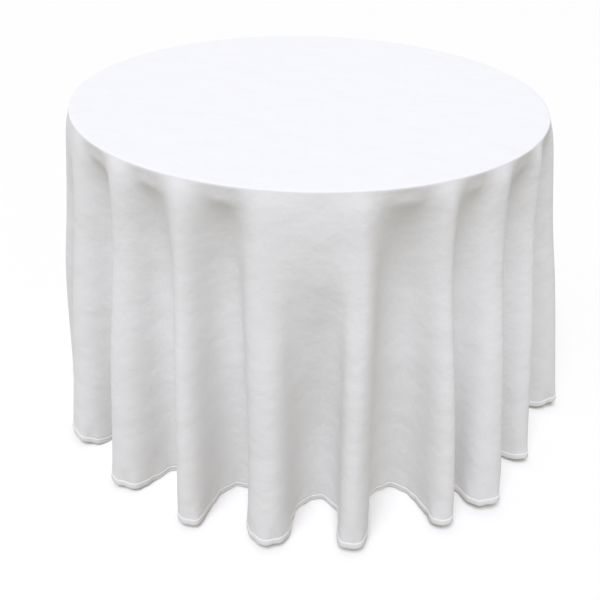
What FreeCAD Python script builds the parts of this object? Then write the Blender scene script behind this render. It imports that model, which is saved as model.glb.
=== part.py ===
import FreeCAD, Part
import math
import os

from FreeCAD import Placement, Rotation, Vector

# A round folding table with two hinged leg frames, dressed with a round floor-length tablecloth.
# Millimetres and degrees.  +Z is up, the floor is Z = 0 and the middle of the table is X = Y = 0.
# The leg frames stand at -X (frame A) and +X (frame B) and fold towards each other under the top.

# ---- table top ----------------------------------------------------------------------------------
TABLE_HEIGHT = 762.0
TOP_RADIUS = 533.5
TOP_THICKNESS = 19.0
BAND_THICKNESS = 3.0
BAND_EDGE_RADIUS = 1.4
BARB_LENGTH = 10.0
BARB_THICKNESS = 1.6
GROOVE_CLEARANCE = 0.1

BATTEN_END_GAP = 72.5
BATTEN_WIDTH = 22.0
BATTEN_DEPTH = 18.0
BATTEN_OFFSET = 200.0
BATTEN_CHAMFER = 6.0
BATTEN_SCREWS = 4
BATTEN_SCREW_MARGIN = 45.0

# ---- leg frames ---------------------------------------------------------------------------------
AXLE_OFFSET = 260.0
FRAME_A_HALF_WIDTH = 170.0
FRAME_B_HALF_WIDTH = 230.0
FRAME_A_AXLE_DROP = 35.0
FRAME_B_AXLE_DROP = 65.0
FOLD_ANGLE = 90.0
LEG_RADIUS = 12.5
LEG_WALL = 1.5
LEG_HEAD = 14.0
CROSSBAR_RADIUS = 9.5
CROSSBAR_WALL = 1.5
CROSSBAR_DROP = 235.0

FOOT_HEIGHT = 34.0
FOOT_FLOOR = 6.0
FOOT_BASE_RADIUS = 19.0
FOOT_BASE_HEIGHT = 9.0
FOOT_NECK_WALL = 2.6
FOOT_EDGE = 1.5
FOOT_SHOULDER = 0.8
FOOT_SHOULDER_HEIGHT = 4.0
FOOT_FIT = 0.1

# ---- leg brackets and their bolts ---------------------------------------------------------------
PLATE = 2.5
BRACKET_LENGTH = 60.0
BRACKET_NOSE = 14.0
BRACKET_SIDE_GAP = 0.7
BOLT_RADIUS = 4.0
BOLT_RUNNING_CLEARANCE = 0.08
BOLT_SEAT_CLEARANCE = 0.05
BOLT_HEAD_RADIUS = 7.5
BOLT_HEAD_HEIGHT = 4.0
BOLT_HEAD_DOME = 2.8
NUT_WIDTH = 13.0
NUT_HEIGHT = 6.0
BOLT_TAIL = 2.0

# ---- hook stays ---------------------------------------------------------------------------------
STAY_SPAN = 240.0
STAY_PIVOT_DROP = 12.0
STAY_THICKNESS = 5.0
STAY_WIDTH = 14.0
STAY_EYE_RADIUS = 8.0
HOOK_OFFSET = 17.0
HOOK_INNER_CHEEK = 34.0
HOOK_OUTER_CHEEK = 20.0
HOOK_DEPTH = 31.0
HOOK_CORNER = 4.0
NOTCH_CLEARANCE = 0.6
NOTCH_STEP = 2.0
NOTCH_STEPS = 6
STAY_PIN_RADIUS = 3.0
STAY_PIN_HEAD_RADIUS = 5.5
STAY_PIN_HEAD_HEIGHT = 2.2
STAY_PIN_HEAD_DOME = 1.5
STAY_SIDE_GAP = 0.7
STAY_BRACKET_LENGTH = 24.0
STAY_BRACKET_WIDTH = 44.0
COLLAR_RADIUS = 13.0
COLLAR_WIDTH = 6.0
COLLAR_SIDE_GAP = 1.0

# ---- wood screws --------------------------------------------------------------------------------
SCREW_RADIUS = 2.2
SCREW_LENGTH = 13.0
SCREW_HEAD_RADIUS = 4.4
SCREW_HEAD_HEIGHT = 2.4
SCREW_SLOT = 1.0
SCREW_SLOT_DEPTH = 1.2
SCREW_HOLE_CLEARANCE = 0.05
SCREW_TIP_RADIUS = 0.2
SCREW_WELL_CLEARANCE = 0.4
SCREW_SLOT_LENGTH = 5.3
BRACKET_SCREW_SPACING = 42.0
BRACKET_SCREW_ROWS = 12.0
STAY_SCREW_SPACING = 30.0

# ---- tablecloth ---------------------------------------------------------------------------------
CLOTH_THICKNESS = 1.5
CLOTH_GAP = 0.5
RIM_DROP = 24.0
HEM_CLEARANCE = 12.0
HEM_WIDTH = 15.0
HEM_THICKNESS = 2.6
THREAD_WIDTH = 0.8
THREAD_BELOW_HEM_TOP = 2.5
RIDGE_RADIUS = 706.0
VALLEY_RADIUS = 556.0
POINTS_PER_FOLD = 12

# Bearings of the fold ridges, anticlockwise from the front (-Y) seen from above, uneven as cloth falls.
RIDGE_BEARINGS = (
    -57.0, -38.5, -21.0, -5.0, 9.0, 27.0, 38.5, 51.0, 71.0, 88.0, 103.5, 118.0,
    133.5, 148.0, 164.0, 180.0, 194.5, 211.0, 226.0, 242.0, 257.0, 272.0, 287.0,
)

# ---- derived places -----------------------------------------------------------------------------
UNDERSIDE = TABLE_HEIGHT - TOP_THICKNESS
PANEL_RADIUS = TOP_RADIUS - BAND_THICKNESS
BATTEN_HALF_LENGTH = math.sqrt((TOP_RADIUS - BATTEN_END_GAP) ** 2 - (BATTEN_OFFSET + BATTEN_WIDTH / 2) ** 2)
CROSSBAR_Z = UNDERSIDE - CROSSBAR_DROP
STAY_PIVOT_X = AXLE_OFFSET - STAY_SPAN
STAY_PIVOT_Z = UNDERSIDE - STAY_PIVOT_DROP
STAY_REACH = math.hypot(STAY_SPAN, STAY_PIVOT_Z - CROSSBAR_Z)
STAY_LEAN = math.degrees(math.asin(HOOK_OFFSET / STAY_REACH))
STAY_ANGLE = math.degrees(math.atan2(STAY_PIVOT_Z - CROSSBAR_Z, STAY_SPAN)) - STAY_LEAN
STAY_RATIO = STAY_ANGLE / FOLD_ANGLE
CLOTH_INNER_RADIUS = TOP_RADIUS + CLOTH_GAP
CLOTH_UNDER_Z = TABLE_HEIGHT + CLOTH_GAP
HEM_TOP_Z = HEM_CLEARANCE + HEM_WIDTH

UP = Vector(0, 0, 1)
ALONG_Y = Vector(0, 1, 0)
NEAR = 0.01

# side is -1 for the frame at -X and +1 for the frame at +X
FRAMES = (
    {"name": "a", "side": -1, "half_width": FRAME_A_HALF_WIDTH, "axle_drop": FRAME_A_AXLE_DROP},
    {"name": "b", "side": 1, "half_width": FRAME_B_HALF_WIDTH, "axle_drop": FRAME_B_AXLE_DROP},
)
HANDS = (("left", -1), ("right", 1))


# ---- shared shapes ------------------------------------------------------------------------------
def box(size_x, size_y, size_z, middle):
    """A box centred on a point."""
    corner = Vector(middle[0] - size_x / 2, middle[1] - size_y / 2, middle[2] - size_z / 2)
    return Part.makeBox(size_x, size_y, size_z, corner)


def ring(outer, inner, height, base):
    """A round ring standing on base."""
    tall = Part.makeCylinder(inner, height + 2, base - Vector(0, 0, 1), UP)
    return Part.makeCylinder(outer, height, base, UP).cut(tall)


def rod(radius, length, start, direction):
    """A round bar from a point along a direction."""
    return Part.makeCylinder(radius, length, start, direction)


def plate_from(points, thickness, y_middle):
    """A flat plate in the XZ plane from its corner points, centred on y_middle."""
    corners = [Vector(x, y_middle - thickness / 2, z) for x, z in points]
    face = Part.Face(Part.makePolygon(corners + corners[:1]))
    return face.extrude(Vector(0, thickness, 0))


def round_corners(solid, radius, wanted):
    """Fillet the straight edges whose middle passes the test wanted."""
    edges = [edge for edge in solid.Edges if wanted(edge)]
    return solid.makeFillet(radius, edges) if edges else solid


def screw(place, direction):
    """A pan-head wood screw with a cross recess: place is under its head, direction is its point's way."""
    shank = rod(SCREW_RADIUS, SCREW_LENGTH - SCREW_RADIUS, Vector(), UP)
    tip_foot = Vector(0, 0, SCREW_LENGTH - SCREW_RADIUS)
    tip = Part.makeCone(SCREW_RADIUS, SCREW_TIP_RADIUS, SCREW_RADIUS, tip_foot, UP)
    head = rod(SCREW_HEAD_RADIUS, SCREW_HEAD_HEIGHT, Vector(0, 0, -SCREW_HEAD_HEIGHT), UP)
    crown = [e for e in head.Edges if e.Closed and e.CenterOfMass.z < -SCREW_HEAD_HEIGHT / 2]
    head = head.makeFillet(SCREW_HEAD_HEIGHT / 2, crown)
    body = shank.fuse([tip, head]).removeSplitter()
    for turn in (0, 90):
        slot = box(SCREW_SLOT_LENGTH, SCREW_SLOT, 2 * SCREW_SLOT_DEPTH, (0, 0, -SCREW_HEAD_HEIGHT))
        slot.rotate(Vector(), UP, turn)
        body = body.cut(slot)
    body.Placement = Placement(place, Rotation(UP, direction)).multiply(body.Placement)
    return body


def screw_hole(place, direction):
    """The pilot hole that a screw's shank goes into."""
    radius = SCREW_RADIUS + SCREW_HOLE_CLEARANCE
    return rod(radius, SCREW_LENGTH + SCREW_HOLE_CLEARANCE, place, direction)


# ---- screw places -------------------------------------------------------------------------------
def bracket_screw_places(frame, hand):
    """Four screws in a leg bracket's base, between its two side plates."""
    middle = Vector(frame["side"] * AXLE_OFFSET, hand * frame["half_width"], UNDERSIDE - PLATE)
    return [
        middle + Vector(dx * BRACKET_SCREW_SPACING / 2, dy * BRACKET_SCREW_ROWS / 2, 0)
        for dx in (-1, 1)
        for dy in (-1, 1)
    ]


def stay_screw_places(frame):
    """Two screws, one in each wing of a stay bracket."""
    return [
        Vector(frame["side"] * STAY_PIVOT_X, hand * STAY_SCREW_SPACING / 2, UNDERSIDE - PLATE)
        for _, hand in HANDS
    ]


def batten_screw_places(hand):
    """A row of screws along a batten, sunk so that their points stay inside the top."""
    reach = BATTEN_HALF_LENGTH - BATTEN_SCREW_MARGIN
    step = 2 * reach / (BATTEN_SCREWS - 1)
    depth = UNDERSIDE - SCREW_LENGTH / 2
    return [Vector(-reach + i * step, hand * BATTEN_OFFSET, depth) for i in range(BATTEN_SCREWS)]


# ---- table top ----------------------------------------------------------------------------------
def make_top_panel():
    """The plywood disc, grooved round its edge and drilled for every screw."""
    panel = rod(PANEL_RADIUS, TOP_THICKNESS, Vector(0, 0, UNDERSIDE), UP)
    groove_height = BARB_THICKNESS + 2 * GROOVE_CLEARANCE
    groove_floor = PANEL_RADIUS - BARB_LENGTH - GROOVE_CLEARANCE
    middle_z = UNDERSIDE + TOP_THICKNESS / 2
    groove = ring(PANEL_RADIUS + 1, groove_floor, groove_height, Vector(0, 0, middle_z - groove_height / 2))
    places = []
    for frame in FRAMES:
        places += stay_screw_places(frame)
        for _, hand in HANDS:
            places += bracket_screw_places(frame, hand)
    for _, hand in HANDS:
        places += batten_screw_places(hand)
    return panel.cut([groove] + [screw_hole(p, UP) for p in places])


def make_edge_band():
    """The moulded band round the top, with the barb that grips the panel's groove."""
    band = ring(TOP_RADIUS, PANEL_RADIUS, TOP_THICKNESS, Vector(0, 0, UNDERSIDE))
    outer = [e for e in band.Edges if e.Closed and abs(e.Curve.Radius - TOP_RADIUS) < NEAR]
    band = band.makeFillet(BAND_EDGE_RADIUS, outer)
    foot = Vector(0, 0, UNDERSIDE + (TOP_THICKNESS - BARB_THICKNESS) / 2)
    barb = ring(PANEL_RADIUS, PANEL_RADIUS - BARB_LENGTH, BARB_THICKNESS, foot)
    return band.fuse(barb).removeSplitter()


def make_batten(hand):
    """A hardwood stiffener under the top, counterbored for its screws."""
    middle = (0, hand * BATTEN_OFFSET, UNDERSIDE - BATTEN_DEPTH / 2)
    batten = box(2 * BATTEN_HALF_LENGTH, BATTEN_WIDTH, BATTEN_DEPTH, middle)
    low_ends = [
        e for e in batten.Edges
        if e.CenterOfMass.z < UNDERSIDE - BATTEN_DEPTH + NEAR
        and abs(e.CenterOfMass.x) > BATTEN_HALF_LENGTH - NEAR
    ]
    batten = batten.makeChamfer(BATTEN_CHAMFER, low_ends)
    wells = []
    for place in batten_screw_places(hand):
        wells.append(screw_hole(place, UP))
        mouth = place - Vector(0, 0, BATTEN_DEPTH)
        wells.append(rod(SCREW_HEAD_RADIUS + SCREW_WELL_CLEARANCE, BATTEN_DEPTH, mouth, UP))
    return batten.cut(wells)


# ---- leg frames ---------------------------------------------------------------------------------
def axle_point(frame, hand):
    """Where a leg's pivot bolt crosses its middle line."""
    return Vector(frame["side"] * AXLE_OFFSET, hand * frame["half_width"], UNDERSIDE - frame["axle_drop"])


def make_leg(frame, hand):
    """A round steel tube from the foot cup up past its pivot bolt."""
    axle = axle_point(frame, hand)
    foot = Vector(axle.x, axle.y, FOOT_FLOOR)
    length = axle.z + LEG_HEAD - FOOT_FLOOR
    tube = ring(LEG_RADIUS, LEG_RADIUS - LEG_WALL, length, foot)
    start = axle - Vector(0, 2 * LEG_RADIUS, 0)
    bore = rod(BOLT_RADIUS + BOLT_RUNNING_CLEARANCE, 4 * LEG_RADIUS, start, ALONG_Y)
    return tube.cut(bore)


def make_crossbar(frame):
    """The tube that joins a frame's two legs, its ends shaped to fit them."""
    half = frame["half_width"]
    x = frame["side"] * AXLE_OFFSET
    start = Vector(x, -half, CROSSBAR_Z)
    outer = rod(CROSSBAR_RADIUS, 2 * half, start, ALONG_Y)
    inner = rod(CROSSBAR_RADIUS - CROSSBAR_WALL, 2 * half, start, ALONG_Y)
    low = CROSSBAR_Z - 2 * LEG_RADIUS
    legs = [rod(LEG_RADIUS, 4 * LEG_RADIUS, Vector(x, hand * half, low), UP) for _, hand in HANDS]
    return outer.cut([inner] + legs)


def make_collars(frame):
    """Two rings on a crossbar that keep the hook stay in the middle."""
    x = frame["side"] * AXLE_OFFSET
    shapes = []
    for _, hand in HANDS:
        inside = hand * (STAY_THICKNESS / 2 + COLLAR_SIDE_GAP)
        start = Vector(x, min(inside, inside + hand * COLLAR_WIDTH), CROSSBAR_Z)
        collar = rod(COLLAR_RADIUS, COLLAR_WIDTH, start, ALONG_Y)
        bore = rod(CROSSBAR_RADIUS + BOLT_SEAT_CLEARANCE, COLLAR_WIDTH, start, ALONG_Y)
        shapes.append(collar.makeFillet(COLLAR_WIDTH / 6, [e for e in collar.Edges if e.Closed]).cut(bore))
    return Part.makeCompound(shapes)


def make_foot(frame, hand):
    """A rubber ferrule: a broad base, a tapered neck and a socket for the leg."""
    axle = axle_point(frame, hand)
    neck = LEG_RADIUS + FOOT_NECK_WALL
    profile = [
        (0, 0), (FOOT_BASE_RADIUS - FOOT_EDGE, 0), (FOOT_BASE_RADIUS, FOOT_EDGE),
        (FOOT_BASE_RADIUS, FOOT_BASE_HEIGHT), (neck + FOOT_SHOULDER, FOOT_BASE_HEIGHT + FOOT_SHOULDER_HEIGHT),
        (neck, FOOT_HEIGHT - FOOT_EDGE), (neck - FOOT_EDGE / 2, FOOT_HEIGHT), (0, FOOT_HEIGHT),
    ]
    corners = [Vector(axle.x + r, axle.y, z) for r, z in profile]
    face = Part.Face(Part.makePolygon(corners + corners[:1]))
    body = face.revolve(Vector(axle.x, axle.y, 0), UP, 360)
    socket = rod(LEG_RADIUS + FOOT_FIT, FOOT_HEIGHT, Vector(axle.x, axle.y, FOOT_FLOOR), UP)
    return body.cut(socket)


def make_leg_bracket(frame, hand):
    """A pressed steel channel under the top that holds one leg's pivot bolt."""
    axle = axle_point(frame, hand)
    gap = 2 * (LEG_RADIUS + BRACKET_SIDE_GAP)
    base = box(BRACKET_LENGTH, gap + 2 * PLATE, PLATE, (axle.x, axle.y, UNDERSIDE - PLATE / 2))
    half = BRACKET_LENGTH / 2
    right = [(half, UNDERSIDE), (half, UNDERSIDE - 2 * PLATE), (BRACKET_NOSE, axle.z)]
    outline = [(axle.x + x, z) for x, z in right] + [(axle.x - x, z) for x, z in reversed(right)]
    bracket = base
    for _, side in HANDS:
        y = axle.y + side * (gap + PLATE) / 2
        web = plate_from(outline, PLATE, y)
        nose = rod(BRACKET_NOSE, PLATE, Vector(axle.x, y - PLATE / 2, axle.z), ALONG_Y)
        bracket = bracket.fuse([web, nose])
    bracket = bracket.removeSplitter()
    reach = gap + 2 * PLATE + 2
    bore = rod(BOLT_RADIUS + BOLT_SEAT_CLEARANCE, reach, Vector(axle.x, axle.y - reach / 2, axle.z), ALONG_Y)
    holes = [screw_hole(p, UP) for p in bracket_screw_places(frame, hand)]
    return bracket.cut([bore] + holes)


def make_bolt(frame, hand):
    """A pivot bolt through a bracket and a leg, its domed head outside."""
    axle = axle_point(frame, hand)
    outside = LEG_RADIUS + BRACKET_SIDE_GAP + PLATE
    length = 2 * outside + NUT_HEIGHT + BOLT_TAIL
    shank = rod(BOLT_RADIUS, length, Vector(), UP)
    head = rod(BOLT_HEAD_RADIUS, BOLT_HEAD_HEIGHT, Vector(0, 0, -BOLT_HEAD_HEIGHT), UP)
    crown = [e for e in head.Edges if e.Closed and e.CenterOfMass.z < -BOLT_HEAD_HEIGHT / 2]
    head = head.makeFillet(BOLT_HEAD_DOME, crown)
    bolt = shank.fuse(head).removeSplitter()
    inward = Vector(0, -hand, 0)
    start = axle - inward * outside
    bolt.Placement = Placement(start, Rotation(UP, inward))
    return bolt


def make_nut(frame, hand):
    """The hexagon lock nut on the inner end of a pivot bolt."""
    axle = axle_point(frame, hand)
    corner = NUT_WIDTH / math.sqrt(3)
    points = [Vector(corner * math.cos(math.radians(60 * i)), corner * math.sin(math.radians(60 * i)), 0)
              for i in range(6)]
    nut = Part.Face(Part.makePolygon(points + points[:1])).extrude(Vector(0, 0, NUT_HEIGHT))
    nut = nut.cut(rod(BOLT_RADIUS + BOLT_SEAT_CLEARANCE, NUT_HEIGHT, Vector(), UP))
    inward = Vector(0, -hand, 0)
    start = axle + inward * (LEG_RADIUS + BRACKET_SIDE_GAP + PLATE)
    nut.Placement = Placement(start, Rotation(UP, inward))
    return nut


# ---- hook stays ---------------------------------------------------------------------------------
def crossbar_in_stay(frame, fold):
    """Where the crossbar's middle lies along and above a stay's own line when its frame has folded so far."""
    turn = math.radians(fold)
    swing = frame["axle_drop"] - CROSSBAR_DROP
    along = STAY_SPAN + swing * math.sin(turn)
    up = STAY_PIVOT_DROP - frame["axle_drop"] + swing * math.cos(turn)
    lean = math.radians(STAY_ANGLE - STAY_RATIO * fold)
    return (along * math.cos(lean) - up * math.sin(lean), along * math.sin(lean) + up * math.cos(lean))


def make_notch(frame):
    """The slot that the crossbar needs to leave the hook: its round section swept along its own path."""
    radius = CROSSBAR_RADIUS + NOTCH_CLEARANCE
    path = [crossbar_in_stay(frame, step * NOTCH_STEP) for step in range(NOTCH_STEPS)]
    thick = STAY_THICKNESS + 2
    pieces = []
    for (x0, z0), (x1, z1) in zip(path, path[1:]):
        length = math.hypot(x1 - x0, z1 - z0)
        ux, uz = (x1 - x0) / length, (z1 - z0) / length
        sides = [(x0 - uz * radius, z0 + ux * radius), (x1 - uz * radius, z1 + ux * radius),
                 (x1 + uz * radius, z1 - ux * radius), (x0 + uz * radius, z0 - ux * radius)]
        pieces.append(plate_from(sides, thick, 0))
        pieces.append(rod(radius, thick, Vector(x0, -thick / 2, z0), ALONG_Y))
    return pieces


def make_stay(frame):
    """A flat steel bar with an eye at the top and a hook that drops over the crossbar."""
    half = STAY_WIDTH / 2
    hook_x, hook_z = crossbar_in_stay(frame, 0)
    tip = hook_x + HOOK_OUTER_CHEEK
    heel = hook_x - HOOK_INNER_CHEEK
    bar = plate_from([(0, -half), (tip, -half), (tip, half), (0, half)], STAY_THICKNESS, 0)
    root = heel - HOOK_DEPTH + half
    outline = [(root, -half), (heel, -HOOK_DEPTH), (tip, -HOOK_DEPTH), (tip, half), (root, half)]
    head = plate_from(outline, STAY_THICKNESS, 0)
    eye = rod(STAY_EYE_RADIUS, STAY_THICKNESS, Vector(0, -STAY_THICKNESS / 2, 0), ALONG_Y)
    stay = bar.fuse([head, eye]).removeSplitter()
    at_tip = lambda e: e.CenterOfMass.x > tip - NEAR and abs(e.CenterOfMass.y) < NEAR
    stay = round_corners(stay, HOOK_CORNER, at_tip)
    start = Vector(0, -STAY_THICKNESS, 0)
    bore = rod(STAY_PIN_RADIUS + BOLT_RUNNING_CLEARANCE, 2 * STAY_THICKNESS, start, ALONG_Y)
    stay = stay.cut([bore] + make_notch(frame))
    if frame["side"] < 0:
        stay = stay.mirror(Vector(), Vector(1, 0, 0))
    stay.rotate(Vector(), ALONG_Y, frame["side"] * STAY_ANGLE)
    stay.translate(Vector(frame["side"] * STAY_PIVOT_X, 0, STAY_PIVOT_Z))
    return stay


def make_stay_bracket(frame):
    """A pressed steel clevis with two screwed wings that carries a stay's pin."""
    x = frame["side"] * STAY_PIVOT_X
    base = box(STAY_BRACKET_LENGTH, STAY_BRACKET_WIDTH, PLATE, (x, 0, UNDERSIDE - PLATE / 2))
    bracket = base
    half = STAY_BRACKET_LENGTH / 2
    for _, side in HANDS:
        y = side * (STAY_THICKNESS / 2 + STAY_SIDE_GAP + PLATE / 2)
        outline = [(x - half, UNDERSIDE), (x + half, UNDERSIDE), (x + STAY_EYE_RADIUS, STAY_PIVOT_Z),
                   (x - STAY_EYE_RADIUS, STAY_PIVOT_Z)]
        nose = rod(STAY_EYE_RADIUS, PLATE, Vector(x, y - PLATE / 2, STAY_PIVOT_Z), ALONG_Y)
        bracket = bracket.fuse([plate_from(outline, PLATE, y), nose])
    bracket = bracket.removeSplitter()
    bore = rod(STAY_PIN_RADIUS + BOLT_SEAT_CLEARANCE, STAY_BRACKET_WIDTH, Vector(x, -STAY_BRACKET_WIDTH / 2,
                                                                               STAY_PIVOT_Z), ALONG_Y)
    holes = [screw_hole(p, UP) for p in stay_screw_places(frame)]
    return bracket.cut([bore] + holes)


def make_stay_pin(frame):
    """A rivet through a stay bracket and the stay's eye, headed at both ends."""
    outside = STAY_THICKNESS / 2 + STAY_SIDE_GAP + PLATE
    x = frame["side"] * STAY_PIVOT_X
    shank = rod(STAY_PIN_RADIUS, 2 * outside, Vector(x, -outside, STAY_PIVOT_Z), ALONG_Y)
    heads = []
    for _, hand in HANDS:
        start = Vector(x, hand * outside, STAY_PIVOT_Z)
        head = rod(STAY_PIN_HEAD_RADIUS, STAY_PIN_HEAD_HEIGHT, start, Vector(0, hand, 0))
        outer = [e for e in head.Edges if e.Closed and abs(e.CenterOfMass.y) > outside + 1]
        heads.append(head.makeFillet(STAY_PIN_HEAD_DOME, outer))
    return shank.fuse(heads).removeSplitter()


# ---- tablecloth ---------------------------------------------------------------------------------
def skirt_radius(share, z):
    """Outer radius of the skirt at a height, share of the way round a fold from valley (0) to valley (1)."""
    knee = CLOTH_UNDER_Z - RIM_DROP
    rim = CLOTH_INNER_RADIUS + CLOTH_THICKNESS
    middle = (RIDGE_RADIUS + VALLEY_RADIUS) / 2
    hem = middle - (RIDGE_RADIUS - VALLEY_RADIUS) / 2 * math.cos(2 * math.pi * share)
    return rim + (hem - rim) * max(0.0, (knee - z) / (knee - HEM_CLEARANCE))


def skirt_point(fold, share, z, inset):
    """A point of one fold at a height, moved inwards square to the cloth by inset."""
    start, end = fold

    def plain(part):
        turn = math.radians(start + (end - start) * part - 90)
        radius = skirt_radius(part, z)
        return Vector(radius * math.cos(turn), radius * math.sin(turn), z)

    step = 0.5 / POINTS_PER_FOLD ** 2
    ahead = (plain(share + step) - plain(share - step)).normalize()
    return plain(share) + Vector(-ahead.y, ahead.x, 0) * inset


def fold_section(fold, z, outset, thickness):
    """The closed outline of one fold's cloth at a height, along its outer side and back along its inner."""
    shares = [i / POINTS_PER_FOLD for i in range(POINTS_PER_FOLD + 1)]
    outer = [skirt_point(fold, share, z, -outset) for share in shares]
    inner = [skirt_point(fold, share, z, thickness - outset) for share in reversed(shares)]
    return Part.makePolygon(outer + inner + outer[:1])


def make_folds(heights, outset, thickness):
    """The skirt between heights as one solid for each fold, neighbours meeting face to face in valleys."""
    ridges = sorted(bearing % 360 for bearing in RIDGE_BEARINGS)
    around = [ridges[-1] - 360] + ridges + [ridges[0] + 360]
    valleys = [(left + right) / 2 for left, right in zip(around, around[1:])]
    folds = []
    for fold in zip(valleys, valleys[1:]):
        sections = [fold_section(fold, z, outset, thickness) for z in heights]
        folds.append(Part.makeLoft(sections, True, True))
    return folds


def make_cloth_panel():
    """The cloth down to its hem: the flat disc on the top, a short straight drop and the fluted skirt."""
    disc = rod(CLOTH_INNER_RADIUS + CLOTH_THICKNESS, CLOTH_THICKNESS, Vector(0, 0, CLOTH_UNDER_Z), UP)
    heights = (CLOTH_UNDER_Z, CLOTH_UNDER_Z - RIM_DROP, HEM_TOP_Z)
    return Part.makeCompound([disc] + make_folds(heights, 0, CLOTH_THICKNESS))


def make_hem():
    """The doubled edge of the cloth."""
    outset = (HEM_THICKNESS - CLOTH_THICKNESS) / 2
    return Part.makeCompound(make_folds((HEM_TOP_Z, HEM_CLEARANCE), outset, HEM_THICKNESS))


def make_thread():
    """The line of stitching that holds the hem, lying on its outer face."""
    top = HEM_TOP_Z - THREAD_BELOW_HEM_TOP
    outset = (HEM_THICKNESS - CLOTH_THICKNESS) / 2 + THREAD_WIDTH
    return Part.makeCompound(make_folds((top, top - THREAD_WIDTH), outset, THREAD_WIDTH))


# ---- the whole set of pieces --------------------------------------------------------------------
def make_nodes():
    """Every node's name and shape."""
    nodes = {"top_panel": make_top_panel(), "edge_band": make_edge_band()}
    batten_screws, bracket_screws, stay_screws, bolts, nuts = [], [], [], [], []
    for word, hand in HANDS:
        nodes["batten_" + word] = make_batten(hand)
        batten_screws += [screw(p, UP) for p in batten_screw_places(hand)]
    for frame in FRAMES:
        name = frame["name"]
        for word, hand in HANDS:
            nodes["leg_%s_%s" % (name, word)] = make_leg(frame, hand)
            nodes["foot_%s_%s" % (name, word)] = make_foot(frame, hand)
            nodes["leg_bracket_%s_%s" % (name, word)] = make_leg_bracket(frame, hand)
            bolts.append(make_bolt(frame, hand))
            nuts.append(make_nut(frame, hand))
            bracket_screws += [screw(p, UP) for p in bracket_screw_places(frame, hand)]
        nodes["crossbar_" + name] = make_crossbar(frame)
        nodes["crossbar_collars_" + name] = make_collars(frame)
        nodes["hook_stay_" + name] = make_stay(frame)
        nodes["stay_bracket_" + name] = make_stay_bracket(frame)
        nodes["stay_pin_" + name] = make_stay_pin(frame)
        stay_screws += [screw(p, UP) for p in stay_screw_places(frame)]
    nodes["pivot_bolts"] = Part.makeCompound(bolts)
    nodes["pivot_nuts"] = Part.makeCompound(nuts)
    nodes["bracket_screws"] = Part.makeCompound(bracket_screws)
    nodes["stay_screws"] = Part.makeCompound(stay_screws)
    nodes["batten_screws"] = Part.makeCompound(batten_screws)
    nodes["cloth_panel"] = make_cloth_panel()
    nodes["cloth_hem"] = make_hem()
    nodes["hem_thread"] = make_thread()
    return nodes


def main():
    """Write one file for each node and print the motion's figures."""
    os.makedirs("parts", exist_ok=True)
    for name, shape in make_nodes().items():
        if not shape.isValid() or not shape.Solids:
            raise ValueError(name + " is not a sound solid")
        shape.exportStep("parts/%s.step" % name)
        print("%-20s %2d solids %12.0f mm3" % (name, len(shape.Solids), shape.Volume))
    print("stay angle %.4f  ratio %.6f" % (STAY_ANGLE, STAY_RATIO))


main()
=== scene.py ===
"""A round floor-length tablecloth draped over a round folding table.

The tablecloth is laid up as a pleated sheet with the lengths of the flat cut disc, settled by a small cloth
simulation over the table's edge, and finished with a doubled hem and its stitches.  The table underneath is
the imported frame, dressed with its own finishes.  Everything is in metres, with +Z up and the floor at Z = 0.
"""

from __future__ import annotations

import logging
import math
from abc import ABC, abstractmethod
from dataclasses import dataclass, field
from enum import Enum
from typing import Any

import bpy
import numpy as np
from mathutils import Matrix, Vector

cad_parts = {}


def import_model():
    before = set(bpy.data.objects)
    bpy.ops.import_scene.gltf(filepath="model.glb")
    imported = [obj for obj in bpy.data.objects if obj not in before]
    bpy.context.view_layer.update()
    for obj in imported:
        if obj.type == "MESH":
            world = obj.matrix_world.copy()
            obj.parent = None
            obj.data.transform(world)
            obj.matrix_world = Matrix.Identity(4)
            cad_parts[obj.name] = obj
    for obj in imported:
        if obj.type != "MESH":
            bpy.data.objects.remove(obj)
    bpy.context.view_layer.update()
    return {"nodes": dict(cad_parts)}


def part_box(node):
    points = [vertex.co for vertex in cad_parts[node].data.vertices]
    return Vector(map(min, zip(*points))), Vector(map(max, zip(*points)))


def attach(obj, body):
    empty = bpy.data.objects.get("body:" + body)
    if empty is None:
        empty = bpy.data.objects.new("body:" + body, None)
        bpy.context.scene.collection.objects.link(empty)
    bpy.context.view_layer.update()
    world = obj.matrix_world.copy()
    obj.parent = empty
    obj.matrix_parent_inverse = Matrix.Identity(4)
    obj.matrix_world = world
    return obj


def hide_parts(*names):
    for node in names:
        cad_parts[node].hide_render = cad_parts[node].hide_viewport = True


LOG = logging.getLogger("tablecloth")
FULL_TURN = 2 * math.pi
TINY = 1e-12
COVER_DEPTH = 0.002
"""How far the outside of the cloth lies outside the bare table, from its small gap and its thickness."""

Points = np.ndarray
Colour = tuple[float, float, float]


class Crest(Enum):
    """How quickly the cloth turns beside a ridge's crest, as the lean of its wave."""

    NARROW = 0.8
    BROAD = 1.25


class Side(Enum):
    """The two faces of the skirt, as the sign of the way out of it."""

    OUTER = 1.0
    INNER = -1.0


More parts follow.
